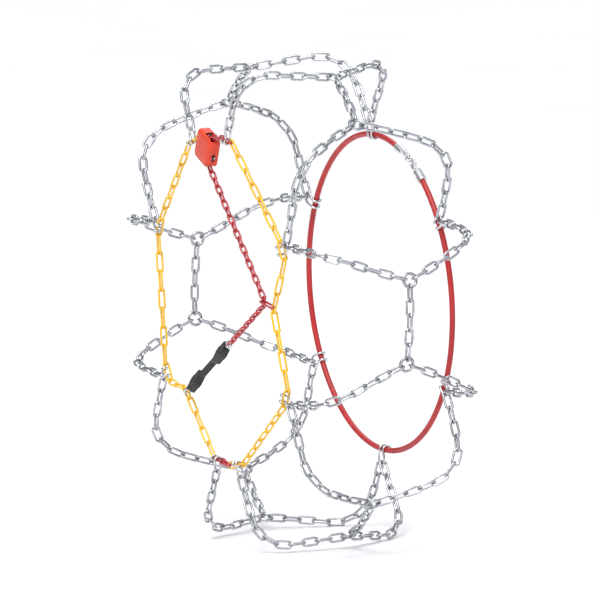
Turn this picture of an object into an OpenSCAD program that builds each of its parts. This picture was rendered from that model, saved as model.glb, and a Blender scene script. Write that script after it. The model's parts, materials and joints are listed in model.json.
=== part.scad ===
// Diamond-pattern tyre snow chain in its fitted shape, for one tyre.
// X to the right and Z up in the plane of the wheel, -Y towards the outer face
// of the wheel. The origin is the centre of the wheel. Angles on the wheel run
// from the top, clockwise as seen from the outer face.

/* [Tyre] */
// Outside diameter of the tyre that the chain fits
tyre_d = 664; // [640:1:690]
// Section width of the tyre
tyre_w = 221; // [210:1:226]

/* [Cross chain] */
// Wire of the zinc-plated cross chain
cross_d = 3.5; // [3:0.1:3.8]
// Outside width of a cross chain link
cross_w = 13.5; // [13:0.1:14.5]
// Pitch aimed at between cross chain links
cross_pitch = 19.4; // [18.5:0.1:20.5]
// Half of the angle between the two rings of a tread pair
ring_half_angle = 9.65; // [9:0.05:10.5]
// Diameter of a tread ring at the middle of its wire
ring_d = 19; // [18:0.5:21]
// Wire of a tread ring
ring_wire = 4.5; // [4:0.1:4.8]
// How far the fitted net is twisted across the tread
tread_skew = 9; // [0:1:12]

/* [Side chain] */
// Wire of the yellow side chain
side_d = 3.2; // [3:0.1:3.4]
// Outside width of a side chain link
side_w = 11.4; // [11.2:0.1:12]
// Pitch of the links that the hooks hold
side_pitch = 25; // [24:0.5:26]
// Radius of the corners of the side chain
side_r = 218; // [216:1:220]

/* [Side hooks] */
// Wire of a side hook
hook_d = 3.6; // [3.2:0.1:3.6]
// Radius of the bow of a side hook
hook_bow_r = 8; // [8:0.1:8.6]
// Height of the middle of the bow over the side chain
hook_h = 12; // [12:0.5:14]

/* [Tension chain] */
// Wire of the red tension chain
tension_d = 3; // [2.8:0.1:3]
// Outside width of a red link
tension_w = 10; // [10:0.1:10.4]
// Pitch aimed at between red links
tension_pitch = 13; // [12.8:0.1:13.4]
// Length of the rubber tensioner
strap_len = 133; // [130:1:136]

/* [Lock] */
// Width of the lock housing
lock_w = 44; // [44:1:46]
// Height of the lock housing
lock_h = 45; // [45:1:47]
// Thickness of the lock housing
lock_t = 17; // [17:0.5:18]

/* [Inner cable] */
// Radius of the rope hoop behind the tyre
cable_r = 222; // [218:1:226]
// Diameter of the steel rope
rope_d = 5; // [4:0.5:5]
// Outside diameter of its plastic sheath
sheath_d = 8; // [8:0.5:8]

/* [Hidden] */
$fn = 32;
gap = 0.25;
// the side chain, the lock and the tension chain lie in one plane
side_y = -118;
hook_plane = 118.5;
cross_rc = (cross_w - cross_d) / 2;
side_rc = (side_w - side_d) / 2;
tension_rc = (tension_w - tension_d) / 2;
// crown and shoulder of the surface that the middle of the cross chain follows
crown_r = tyre_d / 2 + cross_w / 2 + 0.25;
shoulder_r = 42;
crown_half = hook_plane - shoulder_r;

// wheel angles of the eight corners of the side chain and their radii
outer_angles = [9, 64, 119.5, 171, 189, 240, 296, 342];
top_r = 237;
function outer_r(i) = i == 0 || i == 7 ? top_r : side_r;
// the two rings of each tread pair: the outer corner that each is chained to
outer_corner = [[0, 1], [1, 2], [2, 3], [4, 5], [5, 6], [6, 7]];

// ---------- small helpers ----------

function unit(v) = v / norm(v);
function fine(x) = round(100 * x) / 100;
function on_wheel(r, a, y) = [r * sin(a), y, r * cos(a)];
function along_wheel(a) = [cos(a), 0, -sin(a)];
// the odd number nearest to x
function odd(x) = 2 * round((x - 1) / 2) + 1;
// distance between the end arc centres of two joined links or rings
function reach(rc_a, d_a, rc_b, d_b) = rc_a + rc_b - (d_a + d_b) / 2 - gap;

// puts children at o with their x axis along x and their z axis along z
module place(o, x, z) {
    y = cross(z, x);
    multmatrix([
        [x[0], y[0], z[0], o[0]],
        [x[1], y[1], z[1], o[1]],
        [x[2], y[2], z[2], o[2]]
    ])
    children();
}

// part of a wire ring about z, from one angle to another
module bow(r, d, from, to) {
    rotate([0, 0, from])
    rotate_extrude(angle = to - from)
    translate([r, 0])
    circle(d = d);
}

module ring(r, d) {
    rotate_extrude()
    translate([r, 0])
    circle(d = d);
}

module rod(d, h) {
    cylinder(d = d, h = h);
}

// the wire swells a little where it is bent
module knee(d) {
    sphere(d = d + 0.2);
}

// rod from z = 0 to z = h with a chamfered end at z = 0
module tip(d, h) {
    rotate_extrude()
    polygon([[0, 0], [0.3 * d, 0], [d / 2, 0.25 * d], [d / 2, h], [0, h]]);
}

// one chain link: end arcs about the origin and about x = m
module link(m, rc, d) {
    union() {
        bow(rc, d, 90, 270);
        translate([m, 0, 0])
        bow(rc, d, -90, 90);
        for (s = [-1, 1])
            translate([0, s * rc, 0])
            rotate([0, 90, 0])
            rod(d, m);
    }
}

// ---------- runs of chain ----------
// A run is a list of corners. Its links take turns: a bending link reaches from
// corner to corner with its end arcs centred on them, and its plane holds the
// bend. A straight link hangs across it between the next two corners.

// corner distances along a run of n links of which the first bends or not
function steps(n, m, q, bends) =
    [for (k = [0:n]) k * m + 2 * q * floor((k + (bends ? 0 : 1)) / 2)];
// straight length of the links in a run of length l
function link_m(l, n, q, bends) =
    (l - 2 * q * floor((n + (bends ? 0 : 1)) / 2)) / n;

// p corners, normals one per link pointing off the surface
module run(p, normals, rc, d, q, bends = true) {
    for (i = [0:len(p) - 2]) {
        x = unit(p[i + 1] - p[i]);
        bend = (i % 2 == 0) == bends;
        inset = bend ? 0 : q;
        z = bend ? unit(cross(x, normals[i])) : unit(normals[i] - x * (normals[i] * x));
        place(p[i] + inset * x, x, z)
        link(norm(p[i + 1] - p[i]) - 2 * inset, rc, d);
    }
}

// straight run between two corners in the plane of the side chain
module flat_run(a, b, n, rc, d, q, bends = true, q_end = -1) {
    l = norm(b - a);
    x = unit(b - a);
    extra = q_end < 0 ? 0 : q - q_end;
    m = link_m(l + extra, n, q, bends);
    s = steps(n, m, q, bends);
    p = [for (k = [0:n]) a + x * s[k]];
    up = cross(x, [0, 1, 0]);
    run(p, [for (k = [0:n]) up], rc, d, q, bends);
}

// ---------- layout of the side chain, the lock and the tension chain ----------

side_q = reach(side_rc, side_d, side_rc, side_d);
corner_m = side_pitch - side_q;
corner_half = corner_m / 2 + side_q;
small_m = 17;
small_half = small_m / 2 + side_q;
function corner(i) = on_wheel(outer_r(i), outer_angles[i], side_y);
// corner of the chain on either side of a held link, s = 1 clockwise
function beside(i, s, half) = corner(i) + s * half * along_wheel(outer_angles[i]);

lock_at = [-30, side_y, 220];
lock_turn = 24;
anchor_at = [-17, 0];
// corners of the chain inside the lock
tension_q = reach(tension_rc, tension_d, tension_rc, tension_d);
turn_m = tension_pitch - tension_q;
turn_x = turn_m * sqrt(1 / 2);
turn_z = (turn_m + 2 * tension_q) / 2;
lock_in = [-2.5, turn_z + turn_x];
lock_out = [-2.5, -turn_z - turn_x];

function in_lock(p) = lock_at
    + p[0] * [cos(lock_turn), 0, -sin(lock_turn)]
    + p[1] * [sin(lock_turn), 0, cos(lock_turn)];

anchor_end = in_lock(anchor_at);

guide_corner = [132, side_y, 19];
strap_held = [-129, side_y, -131.8];
strap_held_m = 19;
strap_held_x = unit(corner(5) - corner(4));
to_lock = unit(in_lock(lock_out) - guide_corner);
to_strap = unit(strap_held - guide_corner);
guide_pull = -unit(to_lock + to_strap);
// the red link that turns the corner lies across the pull
guide_x = cross(guide_pull, [0, 1, 0]);
guide_upper = guide_corner + turn_m / 2 * guide_x;
guide_lower = guide_corner - turn_m / 2 * guide_x;
guide_rc = 4;
guide_d = 3.2;
// the ring reaches round the inner side of a yellow link at this point
guide_hold = guide_corner + 32 * guide_pull;
entry_to = beside(0, -1, small_m / 2 + reach(side_rc, side_d, tension_rc, tension_d));

function world_angle(v) = atan2(v[2], v[0]);
entry_angle = world_angle(entry_to - in_lock(lock_in)) + lock_turn;
exit_angle = world_angle(guide_upper - in_lock(lock_out)) + lock_turn;

// ---------- the net over the tread ----------

function ring_angle(i) = 30 + 60 * floor(i / 2) + (i % 2 == 0 ? -1 : 1) * ring_half_angle;
function ring_y(i) = (i % 2 == 0 ? 1 : -1) * tread_skew * cos(60 * floor(i / 2));
function ring_at(i) = on_wheel(crown_r, ring_angle(i), ring_y(i));

// from the bow of a side hook up the sidewall and over the shoulder to a ring:
// [distance from the wheel's mid plane, radius] at a distance s
function wall_len(r) = crown_r - shoulder_r - r;
function turn_len() = shoulder_r * PI / 2;
function profile(s, r) =
    s < wall_len(r) ? [hook_plane, r + s] :
    s < wall_len(r) + turn_len() ?
        [crown_half, crown_r - shoulder_r]
        + shoulder_r * [cos((s - wall_len(r)) / shoulder_r * 180 / PI),
                        sin((s - wall_len(r)) / shoulder_r * 180 / PI)] :
    [crown_half - (s - wall_len(r) - turn_len()), crown_r];
function lean(s, r) =
    min(90, max(0, (s - wall_len(r)) / shoulder_r * 180 / PI));

// the chain runs like a taut string, so it turns most near the hook
function spread(u) = u * (1 + 0.36 * (1 - u));

// side is -1 for the outer face and 1 for the inner face, u runs from 0 to 1
function route_len(r, side, y) = wall_len(r) + turn_len() + crown_half - side * y;
function route_at(u, r, a, ring_a, side, y) =
    let (s = u * route_len(r, side, y), p = profile(s, r))
    on_wheel(p[1], a + (ring_a - a) * spread(u), side * p[0]);
function route_normal(u, r, a, ring_a, side, y) =
    let (t = lean(u * route_len(r, side, y), r))
    on_wheel(sin(t), a + (ring_a - a) * spread(u), side * cos(t));

function running(p, i = 0, sum = [0]) =
    i >= len(p) - 1 ? sum
    : running(p, i + 1, concat(sum, [sum[i] + norm(p[i + 1] - p[i])]));

route_steps = 60;

module cross_chain(r, a, i, side) {
    y = ring_y(i);
    ring_a = a > 180 && ring_angle(i) < 60 ? ring_angle(i) + 360 : ring_angle(i);
    dense = [for (k = [0:route_steps]) route_at(k / route_steps, r, a, ring_a, side, y)];
    total = running(dense);
    table = [for (k = [0:route_steps]) [total[k], k / route_steps]];
    q = reach(cross_rc, cross_d, cross_rc, cross_d);
    start = hook_bow_r + cross_rc - (cross_d + hook_d) / 2 - gap;
    stop = total[route_steps] - reach(cross_rc, cross_d, ring_d / 2, ring_wire);
    n = odd((stop - start + q) / cross_pitch);
    m = link_m(stop - start, n, q, true);
    u = [for (s = steps(n, m, q, true)) lookup(start + s, table)];
    run([for (v = u) route_at(v, r, a, ring_a, side, y)],
        [for (k = [0:n - 1]) route_normal((u[k] + u[k + 1]) / 2, r, a, ring_a, side, y)],
        cross_rc, cross_d, q);
}

module tread_ring(i) {
    color("silver")
    place(ring_at(i), along_wheel(ring_angle(i)), on_wheel(1, ring_angle(i), 0))
    ring(ring_d / 2, ring_wire);
}

module tread_chain(k) {
    a = ring_angle(2 * k);
    b = ring_angle(2 * k + 1);
    ya = ring_y(2 * k);
    yb = ring_y(2 * k + 1);
    q = reach(cross_rc, cross_d, cross_rc, cross_d);
    l = norm([(b - a) * PI / 180 * crown_r, yb - ya]);
    ends = reach(cross_rc, cross_d, ring_d / 2, ring_wire);
    n = odd((l - 2 * ends + q) / cross_pitch);
    m = link_m(l - 2 * ends, n, q, true);
    u = [for (s = steps(n, m, q, true)) (ends + s) / l];
    color("silver")
    run([for (v = u) on_wheel(crown_r, a + (b - a) * v, ya + (yb - ya) * v)],
        [for (v = u) on_wheel(1, a + (b - a) * v, 0)],
        cross_rc, cross_d, q);
}

module outer_cross_chains(k) {
    color("silver")
    for (j = [0, 1]) {
        c = outer_corner[k][j];
        cross_chain(outer_r(c) + hook_h, outer_angles[c], 2 * k + j, -1);
    }
}

// inner corners stand every 60 degrees, so the last ring reaches over the top
module inner_cross_chains(k) {
    color("silver")
    for (j = [0, 1])
        cross_chain(cable_r + hook_h, 60 * (k + j), 2 * k + j, 1);
}

// ---------- side hooks ----------
// x along the side chain, y away from the wheel's centre, z out from the wheel

foot_x = 5.2;
leg_z = hook_plane + side_y;

module side_hook(curl_r) {
    // where the leg runs into the bow
    far = norm([foot_x, hook_h]);
    touch = acos(hook_bow_r / far) - atan2(hook_h, foot_x);
    leg = sqrt(far * far - hook_bow_r * hook_bow_r);
    union() {
        translate([0, hook_h, leg_z])
        bow(hook_bow_r, hook_d, touch, 180 - touch);
        for (s = [-1, 1]) {
            translate([s * foot_x, 0, leg_z])
            rotate([-90, 0, 0])
            rotate([0, -s * touch, 0]) {
                rod(hook_d, leg);
                knee(hook_d);
                translate([0, 0, leg])
                knee(hook_d);
            }
            translate([s * foot_x, 0, leg_z + curl_r])
            rotate([0, 90, 0])
            bow(curl_r, hook_d, -215, 0);
        }
    }
}

module at_outer_corner(i) {
    a = outer_angles[i];
    place(on_wheel(outer_r(i), a, side_y), along_wheel(a), [0, -1, 0])
    children();
}

module outer_side_hooks() {
    color("silver")
    for (i = [0:7])
        at_outer_corner(i)
        side_hook((side_d + hook_d) / 2 + 0.2);
}

cable_y = hook_plane + (sheath_d + hook_d) / 2 + 0.2;

module inner_side_hooks() {
    color("silver")
    for (i = [0:5])
        place(on_wheel(cable_r, 60 * i, -side_y), -along_wheel(60 * i), [0, 1, 0])
        side_hook((sheath_d + hook_d) / 2 + 0.2);
}

// ---------- side chain ----------

module side_run(a, b, n, bends = true) {
    flat_run(a, b, n, side_rc, side_d, side_q, bends);
}

// the link that a side hook holds, edge on to the wheel
module held_link(c, x, m) {
    place(c - m / 2 * x, x, cross([0, 1, 0], x))
    link(m, side_rc, side_d);
}

module side_chain_right() {
    a = beside(1, 1, corner_half);
    kink = guide_hold + 4 * unit(guide_hold - a);
    color("gold") {
        side_run(beside(0, 1, small_half), beside(1, -1, corner_half), 7);
        held_link(corner(1), along_wheel(outer_angles[1]), corner_m);
        side_run(a, kink, 3);
        side_run(kink, beside(2, -1, corner_half), 4, false);
        held_link(corner(2), along_wheel(outer_angles[2]), corner_m);
        side_run(beside(2, 1, corner_half), beside(3, -1, corner_half), 7);
        held_link(corner(3), along_wheel(outer_angles[3]), corner_m);
        side_run(beside(3, 1, corner_half), tail_end, 1);
    }
}

module side_chain_left() {
    near = strap_held - strap_held_m / 2 * strap_held_x;
    far = strap_held + strap_held_m / 2 * strap_held_x;
    color("gold") {
        side_run(beside(4, 1, small_half), near, 4);
        side_run(near, far, 1);
        side_run(far, beside(5, -1, corner_half), 2, false);
        held_link(corner(5), along_wheel(outer_angles[5]), corner_m);
        side_run(beside(5, 1, corner_half), beside(6, -1, corner_half), 7);
        held_link(corner(6), along_wheel(outer_angles[6]), corner_m);
        side_run(beside(6, 1, corner_half), beside(7, -1, corner_half), 7);
        held_link(corner(7), along_wheel(outer_angles[7]), corner_m);
        side_run(beside(7, 1, corner_half), anchor_end, 1);
    }
}

// ---------- closing hook at the bottom ----------

closing_m = 8;
tail_m = 14;
tail_end = beside(3, 1, corner_half + tail_m);
closing_a = beside(4, -1, small_half);
closing_x = unit(tail_end - closing_a);
closing_pin = closing_a + (closing_m + side_rc) * closing_x;
latch_d = 3.4;
latch_r = 4.6;
latch_bend = 4;
closing_len = fine(norm(tail_end - closing_pin) - side_rc + side_d / 2 + latch_d / 2 + 0.3);

// hook with an eye round a wire at the origin, reaching to x = l, where its
// tip goes through the next link along z. It closes from the +z side.
module latch_hook(l, d_pin) {
    slack = latch_r - latch_d / 2 - d_pin / 2 - 0.2;
    // the eye is bent until its end all but meets the shank
    open = round(asin(1 - (latch_d + 0.2) / latch_r));
    rotate([90, 0, 0])
    union() {
        translate([slack, 0, 0])
        bow(latch_r, latch_d, 90, 360 + open);
        translate([slack, latch_r, 0])
        rotate([0, 90, 0])
        rod(latch_d, l - slack - latch_bend);
        translate([l - latch_bend, latch_r - latch_bend, 0])
        bow(latch_bend, latch_d, 0, 90);
        translate([l, latch_r - latch_bend - 6, 0])
        rotate([-90, 0, 0])
        tip(latch_d, 6);
    }
}

module closing_links() {
    color("firebrick") {
        held_link(corner(0), along_wheel(outer_angles[0]), small_m);
        held_link(corner(4), along_wheel(outer_angles[4]), small_m);
        side_run(closing_a, closing_a + closing_m * closing_x, 1);
    }
}

module closing_hook() {
    color("firebrick")
    place(closing_pin, closing_x, [0, -1, 0])
    latch_hook(closing_len, side_d);
}

// ---------- inner cable ----------

cable_gap = 6;
cable_open = 30;
fitting_turn = 5;
eye_r = 5;
eye_d = 3.4;

// sweeps a wire section round the wheel on the line of the cable
module round_wheel(from, to) {
    translate([0, cable_y, 0])
    rotate([90, 0, 0])
    rotate([0, 0, 90 - to])
    rotate_extrude(angle = to - from)
    translate([cable_r, 0])
    children();
}

module cable_rope() {
    color("gray")
    round_wheel(cable_open + cable_gap + 1, cable_open - cable_gap - 1 + 360)
    circle(d = rope_d);
}

module cable_sheath() {
    color("darkred")
    round_wheel(cable_open + cable_gap + 1, cable_open - cable_gap - 1 + 360)
    difference() {
        circle(d = sheath_d);
        circle(d = rope_d + 0.1);
    }
}

eye_off = 6.2 + eye_r + eye_d / 2;

// crimped sleeve round the cable's end with a forged eye on it
module end_fitting(s) {
    a = cable_open + s * cable_gap;
    b = a + s * 0.6;
    c = a + s * fitting_turn;
    x = -s * along_wheel(a);
    union() {
        difference() {
            round_wheel(min(a, c), max(a, c))
            circle(d = sheath_d + 4);
            round_wheel(min(b, c + s), max(b, c + s))
            circle(d = sheath_d + 0.1);
        }
        place(on_wheel(cable_r, a, cable_y) - x, [0, 1, 0], x)
        rod(4, 1 + eye_off - eye_r);
        place(on_wheel(cable_r, a, cable_y) + eye_off * x, x, [0, 1, 0])
        ring(eye_r, eye_d);
    }
}

module cable_end_fittings() {
    color("silver")
    for (s = [-1, 1])
        end_fitting(s);
}

// middle of the inner wire of each eye
function eye_pin(s) =
    on_wheel(cable_r, cable_open + s * cable_gap, cable_y)
    - s * (eye_off + eye_r) * along_wheel(cable_open + s * cable_gap);

module cable_hook() {
    x = unit(eye_pin(1) - eye_pin(-1));
    l = fine(norm(eye_pin(1) - eye_pin(-1)) + eye_d / 2 + latch_d / 2 + 0.3);
    color("silver")
    place(eye_pin(-1), x, [0, 1, 0])
    latch_hook(l, eye_d);
}

// ---------- lock ----------
// x towards the chain that leaves it, z across it, y out of the wheel

wall = 2.2;
half_t = lock_t / 2;
inner_t = half_t - wall;
plate_y = [5.2, 6.2];
pin_half = inner_t + 1.2;
roller_at = [1.5, 0];
pawl_at = [16.2, -13.3];
screw_at = [[-16, 16.5], [-16, -16.5], [17, 9]];
module lock_frame() {
    translate(lock_at)
    rotate([0, lock_turn, 0])
    children();
}

// prism with its outline in x and z, from y0 to y1
module slab(y0, y1) {
    translate([0, y1, 0])
    rotate([90, 0, 0])
    linear_extrude(y1 - y0)
    children();
}

module rounded(w, h, r) {
    union() {
        square([w - 2 * r, h], center = true);
        square([w, h - 2 * r], center = true);
        for (x = [-1, 1], z = [-1, 1])
            translate([x * (w / 2 - r), z * (h / 2 - r)])
            circle(r = r);
    }
}

// channel for one strand of chain from a corner of the turn
module strand_slot(p, angle) {
    translate([p[0], p[1]])
    rotate(angle)
    translate([0, -tension_w / 2 - 0.8])
    square([40, tension_w + 1.6]);
}

module lock_openings() {
    slab(-inner_t, inner_t) {
        strand_slot(lock_in, entry_angle);
        strand_slot(lock_out, exit_angle);
        // the side chain comes in on the left, and the thumb tab goes out on the right
        translate([-25 + anchor_at[0], anchor_at[1] - side_w / 2 - 1.5])
        square([25, side_w + 3]);
    }
    slab(-2.2, 2.2)
    translate([18, -11.2])
    square([8, 10]);
}

module lock_shell(y0, y1) {
    difference() {
        union() {
            difference() {
                slab(y0, y1)
                rounded(lock_w, lock_h, 9);
                slab(-inner_t, inner_t)
                rounded(lock_w - 2 * wall, lock_h - 2 * wall, 9 - wall);
                lock_openings();
            }
            slab(max(y0, -inner_t - 0.5), min(y1, inner_t + 0.5))
            for (p = screw_at)
                translate(p)
                circle(r = 3);
        }
        slab(-pin_half - 0.1, pin_half + 0.1) {
            translate(roller_at)
            circle(r = 2.55);
            translate(anchor_at)
            circle(r = 2.25);
            translate(pawl_at)
            circle(r = 1.85);
        }
        slab(-inner_t + 0.5, half_t + 1)
        for (p = screw_at)
            translate(p)
            circle(r = 1.3);
        slab(half_t - 1.6, half_t + 1)
        for (p = screw_at)
            translate(p)
            circle(r = 2.7);
    }
}

module lock_front_cover() {
    color("orangered")
    lock_frame()
    lock_shell(-half_t, -0.05);
}

module lock_rear_cover() {
    color("orangered")
    lock_frame()
    lock_shell(0.05, half_t);
}

module lock_frame_plates() {
    color("silver")
    lock_frame()
    for (s = [-1, 1])
        slab(s > 0 ? plate_y[0] : -plate_y[1], s > 0 ? plate_y[1] : -plate_y[0])
        difference() {
            rounded(lock_w - 2 * wall - 0.6, lock_h - 2 * wall - 0.6, 6.4);
            for (p = screw_at)
                translate(p)
                circle(r = 3.3);
            translate(roller_at)
            circle(r = 2.55);
            translate(anchor_at)
            circle(r = 2.25);
            translate(pawl_at)
            circle(r = 1.85);
        }
}

module lock_roller() {
    color("dimgray")
    lock_frame()
    translate([roller_at[0], 0, roller_at[1]])
    rotate([90, 0, 0])
    rotate_extrude()
    polygon([[2.55, -4.9], [8.6, -4.9], [8.6, -2.2], [7, -2.2],
             [7, 2.2], [8.6, 2.2], [8.6, 4.9], [2.55, 4.9]]);
}

module lock_pin(p, r) {
    color("silver")
    lock_frame()
    slab(-pin_half, pin_half)
    translate(p)
    circle(r = r);
}

module lock_roller_pin() {
    lock_pin(roller_at, 2.5);
}

module lock_anchor_pin() {
    lock_pin(anchor_at, 2.2);
}

module lock_pawl_pin() {
    lock_pin(pawl_at, 1.8);
}

// a point by the strand that leaves the lock: s along it and h above it
function by_exit(s, h) = lock_out
    + s * [cos(exit_angle), sin(exit_angle)]
    + h * [-sin(exit_angle), cos(exit_angle)];

// hub, tooth inside the edge-on link behind a flat one, and thumb tab
module lock_pawl() {
    color("darkgray")
    lock_frame()
    slab(-1.5, 1.5)
    difference() {
        union() {
            translate(pawl_at)
            circle(r = 3.2);
            polygon([for (p = [[8.8, -1], [11.2, -1], [11.2, 2], [12.6, 5], [15.5, 6.4],
                               [16.6, 9.3], [14.5, 11.5], [10.5, 7.5], [8.8, 3.5]])
                by_exit(p[0], p[1])]);
            polygon([pawl_at + [-2.6, 0], pawl_at + [2.6, 0], [17.5, -5.5], [25.5, -5.5],
                     [25.5, -2], [13.7, -2], [13.7, -8]]);
        }
        translate(pawl_at)
        circle(r = 1.85);
    }
}

// torsion spring on the pawl's pin
module lock_pawl_spring() {
    color("gray")
    lock_frame()
    translate([pawl_at[0], 0, pawl_at[1]])
    rotate([-90, 0, 0]) {
        for (s = [0, 1])
            translate([0, 0, 2.8 + 1.8 * s])
            mirror([s, 0, 0])
            union() {
                bow(2.5, 0.8, 0, 270);
                translate([2.5, 0, 0])
                rotate([90, 0, 0])
                rod(0.8, 8);
            }
        translate([0, 0, 3.7])
        ring(2.5, 0.8);
    }
}

module lock_screws() {
    color("silver")
    lock_frame()
    for (p = screw_at)
        translate([p[0], 0, p[1]])
        rotate([-90, 0, 0])
        difference() {
            union() {
                translate([0, 0, -inner_t + 0.8])
                rod(2.5, half_t + inner_t - 2);
                translate([0, 0, half_t - 1.55])
                rod(5.2, 1.4);
            }
            translate([0, 0, half_t - 0.9])
            linear_extrude(2)
            square([0.8, 6], center = true);
        }
}

// ---------- tension chain ----------

module red_run(a, b, n, bends = true) {
    flat_run(a, b, n, tension_rc, tension_d, tension_q, bends);
}

module tension_chain_entry() {
    n = 2 * round(norm(entry_to - in_lock(lock_in)) / tension_pitch / 2);
    color("firebrick")
    red_run(in_lock(lock_in), entry_to, n, false);
}

// the links that turn round the roller
module tension_chain_lock() {
    a = in_lock(lock_in);
    b = in_lock(lock_in - turn_x * [1, 1]);
    c = in_lock(lock_out + turn_x * [-1, 1]);
    d = in_lock(lock_out);
    color("firebrick") {
        red_run(a, b, 1);
        red_run(b, c, 1, false);
        red_run(c, d, 1);
    }
}

module tension_chain_upper() {
    n = odd(norm(guide_upper - in_lock(lock_out)) / tension_pitch);
    color("firebrick") {
        red_run(in_lock(lock_out), guide_upper, n, false);
        red_run(guide_upper, guide_lower, 1);
    }
}

module guide_ring() {
    back = tension_w / 2 + guide_d / 2 + 0.2;
    front = side_rc - (side_d + guide_d) / 2 - 0.2;
    a = guide_corner + (guide_rc - back) * guide_pull;
    color("firebrick")
    place(a, guide_pull, guide_x)
    link(norm(guide_hold - a) - front - guide_rc, guide_rc, guide_d);
}

// ---------- tensioner ----------
// x towards the side chain, z out from the wheel, origin at the rubber's end

strap_reach = 22;
strap_x = unit(strap_held - guide_lower);
strap_start = strap_held - (strap_reach + strap_len) * strap_x;
strap_roll = 39;
strap_eye_r = 5;
strap_eye = strap_start - (4 + strap_eye_r) * strap_x;
shank_d = 4;
shank_in = 12;

module tensioner_frame() {
    place(strap_start, strap_x, [0, -1, 0])
    children();
}

module along_strap(x) {
    translate([x, 0, 0])
    rotate([0, 90, 0])
    children();
}

module tension_chain_lower() {
    q_eye = reach(tension_rc, tension_d, strap_eye_r, eye_d);
    n = odd(norm(strap_eye - guide_lower) / tension_pitch);
    color("firebrick")
    red_run(guide_lower, strap_eye - (q_eye - tension_q) * strap_x, n, false);
}

// metal ring with a headed shank moulded into the rubber
module tensioner_eye() {
    color("silver")
    tensioner_frame()
    union() {
        translate([-4 - strap_eye_r, 0, 0])
        ring(strap_eye_r, eye_d);
        along_strap(-4)
        rod(shank_d, 4 + shank_in);
        along_strap(shank_in)
        rod(8, 3);
    }
}

module shank_space() {
    along_strap(-1)
    rod(shank_d + 0.1, 1 + shank_in + 1);
    along_strap(shank_in - 0.05)
    rod(8.1, 3.1);
}

module tensioner_strap() {
    pad_l = 34;
    pad_w = 23;
    pad_t = 13;
    waist_w = 12.5;
    waist_t = 8;
    color("black")
    tensioner_frame()
    rotate([strap_roll, 0, 0])
    difference() {
        union() {
            for (x = [pad_l / 2, strap_len - pad_l / 2]) {
                translate([x, 0, -pad_t / 2])
                linear_extrude(pad_t)
                rounded(pad_l, pad_w, 6);
                translate([x, 0, -pad_t / 2 - 1.5])
                rod(14, pad_t + 3);
            }
            translate([pad_l - 3, -waist_w / 2, -waist_t / 2])
            cube([strap_len - 2 * pad_l + 6, waist_w, waist_t]);
            for (s = [0, 1])
                translate([s * strap_len, 0, -waist_t / 2])
                mirror([s, 0, 0])
                linear_extrude(waist_t)
                polygon([[pad_l - 1, -9.5], [pad_l + 8, -waist_w / 2],
                         [pad_l + 8, waist_w / 2], [pad_l - 1, 9.5]]);
        }
        shank_space();
        translate([strap_len, 0, 0])
        mirror([1, 0, 0])
        shank_space();
    }
}

// headed shank, a step out in front of the side chain and a tip through its link
module tensioner_hook() {
    step_r = 4;
    step_h = 5;
    turn = acos(1 - step_h / (2 * step_r));
    x0 = strap_len + 3;
    x1 = x0 + fine(2 * step_r * sin(turn));
    end = strap_len + strap_reach;
    color("silver")
    tensioner_frame()
    union() {
        along_strap(strap_len - shank_in - 3)
        rod(8, 3);
        along_strap(strap_len - shank_in)
        rod(shank_d, shank_in + 3);
        rotate([90, 0, 0]) {
            translate([x0, step_r, 0])
            bow(step_r, shank_d, -90, turn - 90);
            translate([x1, step_h - step_r, 0])
            bow(step_r, shank_d, 90, 90 + turn);
            translate([end - step_r, step_h - step_r, 0])
            bow(step_r, shank_d, 0, 90);
        }
        for (p = [[x0, 0], [(x0 + x1) / 2, step_h / 2], [x1, step_h]])
            translate([p[0], 0, p[1]])
            knee(shank_d);
        translate([0, 0, step_h])
        along_strap(x1)
        rod(shank_d, end - step_r - x1);
        translate([end, 0, -7])
        tip(shank_d, step_h - step_r + 7);
    }
}
tread_ring(0);  // tread_ring_1
tread_ring(1);  // tread_ring_2
tread_ring(2);  // tread_ring_3
tread_ring(3);  // tread_ring_4
tread_ring(4);  // tread_ring_5
tread_ring(5);  // tread_ring_6
tread_ring(6);  // tread_ring_7
tread_ring(7);  // tread_ring_8
tread_ring(8);  // tread_ring_9
tread_ring(9);  // tread_ring_10
tread_ring(10);  // tread_ring_11
tread_ring(11);  // tread_ring_12
tread_chain(0);  // tread_chain_1
tread_chain(1);  // tread_chain_2
tread_chain(2);  // tread_chain_3
tread_chain(3);  // tread_chain_4
tread_chain(4);  // tread_chain_5
tread_chain(5);  // tread_chain_6
outer_cross_chains(0);  // outer_cross_chains_1
outer_cross_chains(1);  // outer_cross_chains_2
outer_cross_chains(2);  // outer_cross_chains_3
outer_cross_chains(3);  // outer_cross_chains_4
outer_cross_chains(4);  // outer_cross_chains_5
outer_cross_chains(5);  // outer_cross_chains_6
inner_cross_chains(0);  // inner_cross_chains_1
inner_cross_chains(1);  // inner_cross_chains_2
inner_cross_chains(2);  // inner_cross_chains_3
inner_cross_chains(3);  // inner_cross_chains_4
inner_cross_chains(4);  // inner_cross_chains_5
inner_cross_chains(5);  // inner_cross_chains_6
outer_side_hooks();
inner_side_hooks();
side_chain_right();
side_chain_left();
closing_links();
closing_hook();
cable_rope();
cable_sheath();
cable_end_fittings();
cable_hook();
lock_front_cover();
lock_rear_cover();
lock_frame_plates();
lock_roller();
lock_roller_pin();
lock_anchor_pin();
lock_pawl();
lock_pawl_pin();
lock_pawl_spring();
lock_screws();
tension_chain_entry();
tension_chain_lock();
tension_chain_upper();
guide_ring();
tension_chain_lower();
tensioner_eye();
tensioner_strap();
tensioner_hook();
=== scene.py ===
"""Looks of the fitted tyre snow chain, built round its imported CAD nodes."""
import json
import math
import bpy
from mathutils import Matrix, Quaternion, Vector


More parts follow.
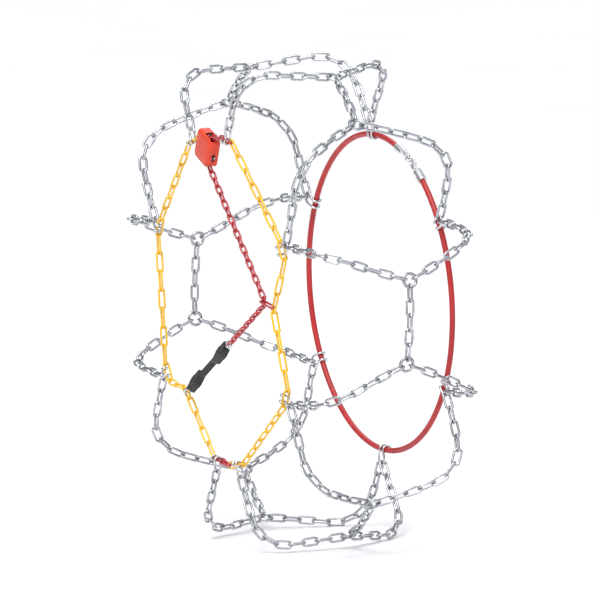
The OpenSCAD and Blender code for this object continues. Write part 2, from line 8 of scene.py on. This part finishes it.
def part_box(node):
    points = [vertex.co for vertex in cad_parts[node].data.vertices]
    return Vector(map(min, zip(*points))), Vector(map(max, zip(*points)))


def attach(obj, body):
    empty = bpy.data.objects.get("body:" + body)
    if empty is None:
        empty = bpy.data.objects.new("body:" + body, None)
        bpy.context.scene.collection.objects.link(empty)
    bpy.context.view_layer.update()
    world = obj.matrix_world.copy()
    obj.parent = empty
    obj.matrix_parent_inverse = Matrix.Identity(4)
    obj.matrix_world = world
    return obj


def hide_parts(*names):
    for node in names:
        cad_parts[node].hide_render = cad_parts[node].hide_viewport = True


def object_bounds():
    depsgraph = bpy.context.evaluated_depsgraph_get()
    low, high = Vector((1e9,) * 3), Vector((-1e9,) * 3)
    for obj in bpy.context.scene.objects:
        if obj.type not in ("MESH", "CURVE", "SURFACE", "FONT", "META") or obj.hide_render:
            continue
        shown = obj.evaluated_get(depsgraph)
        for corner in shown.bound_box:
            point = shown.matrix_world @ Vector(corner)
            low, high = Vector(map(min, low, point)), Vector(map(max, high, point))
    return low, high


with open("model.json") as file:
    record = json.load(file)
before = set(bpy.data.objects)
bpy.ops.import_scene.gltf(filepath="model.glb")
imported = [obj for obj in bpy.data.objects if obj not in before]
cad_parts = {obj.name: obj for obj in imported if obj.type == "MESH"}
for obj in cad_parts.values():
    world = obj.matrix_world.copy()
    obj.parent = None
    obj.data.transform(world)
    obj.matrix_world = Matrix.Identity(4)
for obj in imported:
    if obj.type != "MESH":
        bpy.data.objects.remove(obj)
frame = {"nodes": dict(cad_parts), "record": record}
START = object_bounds()
MM = 0.001


# ---------- material building blocks ----------

class Mat:
    """A small wrapper that keeps node building short."""

    def __init__(self, name):
        self.m = bpy.data.materials.new(name)
        self.m.use_nodes = True
        self.nt = self.m.node_tree
        self.nt.nodes.clear()
        self.out = self.node("ShaderNodeOutputMaterial")
        self.bsdf = self.node("ShaderNodeBsdfPrincipled")
        self.link(self.bsdf, "BSDF", self.out, "Surface")
        self.coord = self.node("ShaderNodeTexCoord")

    def node(self, kind, **inputs):
        n = self.nt.nodes.new(kind)
        for k, v in inputs.items():
            n.inputs[k].default_value = v
        return n

    def link(self, a, out, b, socket):
        self.nt.links.new(a.outputs[out], b.inputs[socket])

    def set(self, **values):
        for k, v in values.items():
            self.bsdf.inputs[k.replace("_", " ")].default_value = v

    def noise(self, scale, detail=4.0, rough=0.55, stretch=None):
        n = self.node("ShaderNodeTexNoise", Scale=scale, Detail=detail, Roughness=rough)
        if stretch:
            t = self.node("ShaderNodeMapping", Scale=stretch)
            self.link(self.coord, "Object", t, "Vector")
            self.link(t, "Vector", n, "Vector")
        else:
            self.link(self.coord, "Object", n, "Vector")
        return n

    def ramp(self, source, stops, out="Fac"):
        r = self.node("ShaderNodeValToRGB")
        self.link(source, out, r, "Fac")
        e = r.color_ramp.elements
        while len(e) < len(stops):
            e.new(0.5)
        for spot, (pos, c) in zip(e, stops):
            spot.position = pos
            spot.color = (*c, 1.0) if isinstance(c, tuple) else (c, c, c, 1.0)
        return r

    def mix(self, fac, a, b):
        n = self.node("ShaderNodeMix")
        n.data_type = "RGBA"
        self.nt.links.new(fac, n.inputs["Factor"])
        for side, v in (("A", a), ("B", b)):
            s = [i for i in n.inputs if i.name == side and i.type == "RGBA"][0]
            if isinstance(v, tuple):
                s.default_value = (*v, 1.0)
            else:
                self.nt.links.new(v, s)
        return [o for o in n.outputs if o.type == "RGBA"][0]

    def bump(self, source, strength, distance, out="Fac", below=None):
        b = self.node("ShaderNodeBump", Strength=strength, Distance=distance)
        self.link(source, out, b, "Height")
        if below:
            self.link(below, "Normal", b, "Normal")
        self.link(b, "Normal", self.bsdf, "Normal")
        return b


def steel(name, light, dark, rough=(0.22, 0.42), scale=1.0):
    """Zinc-plated wire: bright, a little cloudy, with fine drawing marks and dulled spots."""
    k = Mat(name)
    k.set(Metallic=1.0, IOR=1.5)
    cloud = k.noise(70 * scale, 5.0)
    spots = k.noise(420 * scale, 3.0, 0.6)
    tone = k.ramp(cloud, [(0.32, dark), (0.62, light)])
    grime = k.ramp(spots, [(0.28, 0.0), (0.46, 1.0)])
    k.nt.links.new(k.mix(grime.outputs["Color"], tuple(0.74 * c for c in dark),
                         tone.outputs["Color"]), k.bsdf.inputs["Base Color"])
    r = k.ramp(cloud, [(0.3, rough[1]), (0.65, rough[0])])
    k.nt.links.new(r.outputs["Color"], k.bsdf.inputs["Roughness"])
    fine = k.noise(1500 * scale, 2.0, 0.7)
    first = k.bump(fine, 0.12, 0.0004)
    k.bump(cloud, 0.18, 0.0008, below=first)
    return k.m


def lacquer(name, colour, deep, metal=(0.62, 0.62, 0.6), worn=0.31, coat=0.7):
    """Glossy lacquer on chain: uneven film, and small spots rubbed through to the steel."""
    k = Mat(name)
    k.set(Coat_Weight=coat, Coat_Roughness=0.08, IOR=1.48)
    cloud = k.noise(55, 4.0)
    film = k.ramp(cloud, [(0.3, deep), (0.6, colour)])
    rub = k.noise(310, 5.0, 0.68)
    bare = k.ramp(rub, [(worn - 0.012, 1.0), (worn + 0.012, 0.0)])
    k.nt.links.new(k.mix(bare.outputs["Color"], film.outputs["Color"], metal),
                   k.bsdf.inputs["Base Color"])
    k.nt.links.new(bare.outputs["Color"], k.bsdf.inputs["Metallic"])
    rough = k.ramp(cloud, [(0.3, 0.36), (0.7, 0.2)])
    k.nt.links.new(rough.outputs["Color"], k.bsdf.inputs["Roughness"])
    peel = k.noise(900, 2.0, 0.5)
    first = k.bump(peel, 0.1, 0.0003)
    k.bump(bare, 0.35, 0.0002, out="Color", below=first)
    return k.m


def plastic(name, colour, deep, rough=0.42, grain=0.16, coat=0.15):
    """Moulded plastic with a fine grain, scuffs and slightly faded patches."""
    k = Mat(name)
    k.set(Coat_Weight=coat, Coat_Roughness=0.25, IOR=1.47)
    cloud = k.noise(38, 5.0)
    tone = k.ramp(cloud, [(0.3, deep), (0.65, colour)])
    scuff = k.noise(120, 6.0, 0.7, stretch=(1.0, 1.0, 6.0))
    mark = k.ramp(scuff, [(0.66, 0.0), (0.72, 1.0)])
    pale = tuple(min(1.0, 0.25 + 0.8 * c) for c in colour)
    k.nt.links.new(k.mix(mark.outputs["Color"], tone.outputs["Color"], pale),
                   k.bsdf.inputs["Base Color"])
    r = k.ramp(scuff, [(0.3, rough), (0.75, min(1.0, rough + 0.2))])
    k.nt.links.new(r.outputs["Color"], k.bsdf.inputs["Roughness"])
    fine = k.noise(2400, 2.0, 0.6)
    k.bump(fine, grain, 0.0003)
    return k.m


def rubber(name):
    """Moulded rubber: near black, soft sheen, dusty bloom and a pebbled skin."""
    k = Mat(name)
    k.set(IOR=1.5, Specular_IOR_Level=0.42)
    cloud = k.noise(45, 6.0, 0.62)
    tone = k.ramp(cloud, [(0.35, (0.012, 0.012, 0.013)), (0.7, (0.035, 0.035, 0.037))])
    dust = k.noise(260, 4.0, 0.6)
    bloom = k.ramp(dust, [(0.6, 0.0), (0.78, 0.35)])
    k.nt.links.new(k.mix(bloom.outputs["Color"], tone.outputs["Color"],
                         (0.16, 0.155, 0.15)), k.bsdf.inputs["Base Color"])
    r = k.ramp(cloud, [(0.3, 0.62), (0.7, 0.46)])
    k.nt.links.new(r.outputs["Color"], k.bsdf.inputs["Roughness"])
    fine = k.noise(1300, 3.0, 0.6)
    k.bump(fine, 0.3, 0.0004)
    return k.m


ZINC = (0.6, 0.61, 0.63)
ZINC_DARK = (0.36, 0.37, 0.39)
LOOKS = {
    "cross_chain_zinc": steel("cross_chain_zinc", ZINC, ZINC_DARK),
    "hook_wire": steel("hook_wire", (0.72, 0.72, 0.74), (0.5, 0.51, 0.53), (0.18, 0.34)),
    "side_chain_yellow": lacquer("side_chain_yellow", (0.9, 0.55, 0.014), (0.82, 0.44, 0.01)),
    "tension_chain_red": lacquer("tension_chain_red", (0.5, 0.008, 0.013),
                                 (0.32, 0.004, 0.008), worn=0.29, coat=0.9),
    "rope_steel": steel("rope_steel", (0.6, 0.6, 0.6), (0.4, 0.4, 0.4), (0.3, 0.5)),
    "sheath_red": plastic("sheath_red", (0.5, 0.02, 0.02), (0.38, 0.012, 0.012), 0.35),
    "fitting_steel": steel("fitting_steel", (0.82, 0.82, 0.83), (0.5, 0.51, 0.53)),
    "lock_housing_orange": plastic("lock_housing_orange", (0.74, 0.046, 0.006),
                                   (0.62, 0.034, 0.005), 0.38, 0.12, 0.25),
    "lock_steel": steel("lock_steel", (0.7, 0.7, 0.71), (0.45, 0.46, 0.47)),
    "roller_black": plastic("roller_black", (0.04, 0.04, 0.042), (0.02, 0.02, 0.02)),
    "pawl_dark_steel": steel("pawl_dark_steel", (0.36, 0.36, 0.37), (0.2, 0.2, 0.21)),
    "spring_steel": steel("spring_steel", (0.6, 0.6, 0.6), (0.4, 0.4, 0.4)),
    "screw_steel": steel("screw_steel", (0.8, 0.8, 0.8), (0.5, 0.5, 0.52)),
    "tensioner_rubber": rubber("tensioner_rubber"),
}
SLOT_OF = {s["node"]: s["material_slot"] for s in frame["record"]["subparts"]}
BODY_OF = {n: b for b, ns in frame["record"]["behaviour"]["bodies"].items() for n in ns}


def dress(o, slot_name):
    o.data.materials.clear()
    o.data.materials.append(LOOKS[slot_name])


for name, o in frame["nodes"].items():
    dress(o, SLOT_OF[name])


# ---------- softer edges on moulded pieces ----------

def stand_in(node, me):
    """Puts a mesh in the place of a CAD node, riding on the same body."""
    o = bpy.data.objects.new(node + "_soft", me)
    bpy.context.scene.collection.objects.link(o)
    for p in me.polygons:
        p.use_smooth = True
    o.matrix_world = frame["nodes"][node].matrix_world
    dress(o, SLOT_OF[node])
    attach(o, BODY_OF[node])
    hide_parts(node)
    return o


def dense_mesh(node, voxel, rounds):
    """The CAD node's shape as a fine even mesh, its edges rounded by smoothing."""
    dense = bpy.data.objects.new(node + "_dense", frame["nodes"][node].data.copy())
    bpy.context.scene.collection.objects.link(dense)
    grid = dense.modifiers.new("grid", "REMESH")
    grid.mode = "VOXEL"
    grid.voxel_size = voxel
    soft = dense.modifiers.new("soft", "SMOOTH")
    soft.factor = 0.5
    soft.iterations = rounds
    bpy.context.view_layer.update()
    dg = bpy.context.evaluated_depsgraph_get()
    me = bpy.data.meshes.new_from_object(dense.evaluated_get(dg))
    bpy.data.objects.remove(dense)
    return me


LOCK_W = 44 * MM
LOCK_H = 45 * MM
LOCK_CORNER = 9 * MM
LOCK_TURN = math.radians(24)
FACE_DEPTH = 6 * MM
COVER_GRID = 0.38 * MM
COVER_ROUNDS = 5
STRAP_GRID = 0.55 * MM
STRAP_ROUNDS = 45
FRONT_RIM = 4.6 * MM
FRONT_CROWN = 1.6 * MM
REAR_RIM = 2.4 * MM
LOCK_X = Vector((math.cos(LOCK_TURN), 0, -math.sin(LOCK_TURN)))
LOCK_Z = Vector((math.sin(LOCK_TURN), 0, math.cos(LOCK_TURN)))


def outline(x, z):
    """Depth inside the lock's rounded outline, and the way out of it."""
    qx, qz = abs(x) - LOCK_W / 2 + LOCK_CORNER, abs(z) - LOCK_H / 2 + LOCK_CORNER
    if qx > 0 and qz > 0:
        r = math.hypot(qx, qz)
        nx, nz, depth = qx / r, qz / r, LOCK_CORNER - r
    elif qx > qz:
        nx, nz, depth = 1.0, 0.0, LOCK_CORNER - qx
    else:
        nx, nz, depth = 0.0, 1.0, LOCK_CORNER - qz
    return depth, math.copysign(nx, x), math.copysign(nz, z)


def moulded_cover(node, side, radius, crown):
    """A lock cover as it leaves the mould: its rim rolled over and its face crowned."""
    me = dense_mesh(node, COVER_GRID, COVER_ROUNDS)
    low_at, high_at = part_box(node)
    middle = (low_at + high_at) / 2
    face = high_at.y if side > 0 else low_at.y
    for v in me.vertices:
        p = v.co - middle
        x, z, t = p.dot(LOCK_X), p.dot(LOCK_Z), (face - v.co.y) * side
        depth, nx, nz = outline(x, z)
        out, back = radius - depth, radius - t
        push, lift = 0.0, 0.0
        if out > 0 and back > 0:
            far = max(out, back)
            turn = math.pi / 4 * min(out, back) / far
            turn = turn if out > back else math.pi / 2 - turn
            push = far * math.cos(turn) - out
            lift = far * math.sin(turn) - back
        bulge = max(0.0, 1 - (2 * x / LOCK_W) ** 2) * max(0.0, 1 - (2 * z / LOCK_H) ** 2)
        lift += crown * bulge * max(0.0, 1 - t / FACE_DEPTH)
        v.co += push * (nx * LOCK_X + nz * LOCK_Z) + Vector((0, lift * side, 0))
    return stand_in(node, me)


moulded_cover("lock_front_cover", -1, FRONT_RIM, FRONT_CROWN)
moulded_cover("lock_rear_cover", 1, REAR_RIM, 0.0)
stand_in("tensioner_strap", dense_mesh("tensioner_strap", STRAP_GRID, STRAP_ROUNDS))


# ---------- floor, light and camera ----------

FLOOR_SIZE = 500.0
FLOOR_GREY = (0.88, 0.88, 0.88)
SUN_POWER = 1.75
SUN_SPREAD = math.radians(28)
SUN_WAY = Vector((-0.55, 0.5, -1.35))
SKY_STRENGTH = 1.12
AZIMUTH, ELEVATION, ROLL = map(math.radians, (64.14, 6.86, -2.15))
DISTANCE = 10.55
SENSOR = 36.0
LENS = 407.0
CLOSER = 1.12


def placed(name, data):
    o = bpy.data.objects.new(name, data)
    bpy.context.scene.collection.objects.link(o)
    o.rotation_mode = "QUATERNION"
    return o


def floor(z):
    bpy.ops.mesh.primitive_plane_add(size=FLOOR_SIZE, location=(0, 0, z))
    o = bpy.context.object
    o.name = "floor"
    k = Mat("floor")
    k.set(Roughness=0.85, IOR=1.4)
    haze = k.noise(3.0, 3.0)
    brighter = tuple(1.02 * c for c in FLOOR_GREY)
    tone = k.ramp(haze, [(0.3, FLOOR_GREY), (0.7, brighter)])
    k.nt.links.new(tone.outputs["Color"], k.bsdf.inputs["Base Color"])
    o.data.materials.append(k.m)


def area(name, at, aim, size, power):
    data = bpy.data.lights.new(name, "AREA")
    data.shape = "RECTANGLE"
    data.size, data.size_y = size
    data.energy = power
    o = placed(name, data)
    o.location = at
    o.rotation_quaternion = (aim - Vector(at)).to_track_quat("-Z", "Y")


def soft_sun():
    data = bpy.data.lights.new("sun", "SUN")
    data.energy = SUN_POWER
    data.angle = SUN_SPREAD
    placed("sun", data).rotation_quaternion = SUN_WAY.to_track_quat("-Z", "Y")


def studio_sky():
    """White at and below the horizon, a dark band above it for the metal, pale overhead."""
    world = bpy.data.worlds.new("studio")
    bpy.context.scene.world = world
    world.use_nodes = True
    tree = world.node_tree
    sky = tree.nodes["Background"]
    sky.inputs["Strength"].default_value = SKY_STRENGTH
    way = tree.nodes.new("ShaderNodeTexCoord")
    split = tree.nodes.new("ShaderNodeSeparateXYZ")
    shade = tree.nodes.new("ShaderNodeValToRGB")
    tree.links.new(way.outputs["Generated"], split.inputs[0])
    tree.links.new(split.outputs["Z"], shade.inputs["Fac"])
    tree.links.new(shade.outputs["Color"], sky.inputs["Color"])
    steps = shade.color_ramp.elements
    steps[0].position = 0.01
    steps[0].color = (1.0, 1.0, 1.0, 1.0)
    steps[1].position = 0.75
    steps[1].color = (0.77, 0.79, 0.84, 1.0)
    for height, grey in ((0.05, 0.14), (0.3, 0.17)):
        band = steps.new(height)
        band.color = (grey, 1.03 * grey, 1.08 * grey, 1.0)


def photo_camera(aim):
    """The photograph's viewing angle, aimed at the middle of the chain."""
    back = Vector((math.sin(AZIMUTH) * math.cos(ELEVATION),
                   -math.cos(AZIMUTH) * math.cos(ELEVATION), math.sin(ELEVATION)))
    data = bpy.data.cameras.new("camera")
    data.lens = LENS * CLOSER
    data.sensor_width = SENSOR
    data.clip_end = 100.0
    cam = placed("camera", data)
    cam.location = aim + back * DISTANCE
    cam.rotation_quaternion = Quaternion(back, ROLL) @ (-back).to_track_quat("-Z", "Y")
    bpy.context.scene.camera = cam


low, high = START
centre = (low + high) / 2
floor(low.z)
area("key", (1.9, -2.4, 2.4), centre, (1.2, 1.2), 20)
area("rim", (-1.8, 1.5, 1.9), centre, (1.0, 1.0), 14)
area("strip", (2.2, -0.9, 0.2), centre, (0.2, 1.8), 6)
soft_sun()
studio_sky()
photo_camera(centre)
bpy.context.scene.view_settings.view_transform = "Standard"
